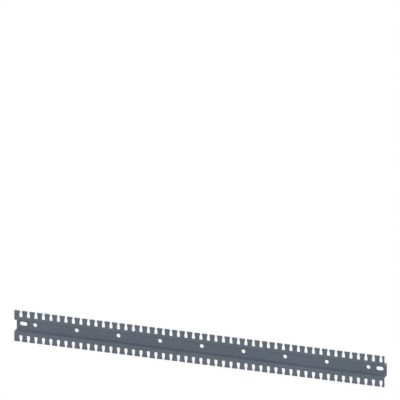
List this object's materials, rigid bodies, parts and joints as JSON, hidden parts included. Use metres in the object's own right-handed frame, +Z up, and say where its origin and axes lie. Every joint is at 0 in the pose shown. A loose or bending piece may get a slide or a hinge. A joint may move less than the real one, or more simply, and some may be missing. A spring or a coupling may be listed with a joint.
{
  "type": "hat-section cable mounting rail",
  "caption": "Hat-section sheet-steel rail with open tie slots along both flange edges, round holes along its web and a slotted hole at each end, for fixing and tying cables.",
  "frame": {"origin": "centre of the back of the web, which the rail lies on", "axes": "+X along the rail, with the wide end land at -X, +Y across it towards one flange, +Z up out of the open channel"},
  "size_m": [0.888, 0.075, 0.019],
  "materials": {
    "zinc_steel": "satin"
  },
  "bodies": {
    "root": {"mounting_rail": "zinc_steel"}
  },
  "joints": []
}
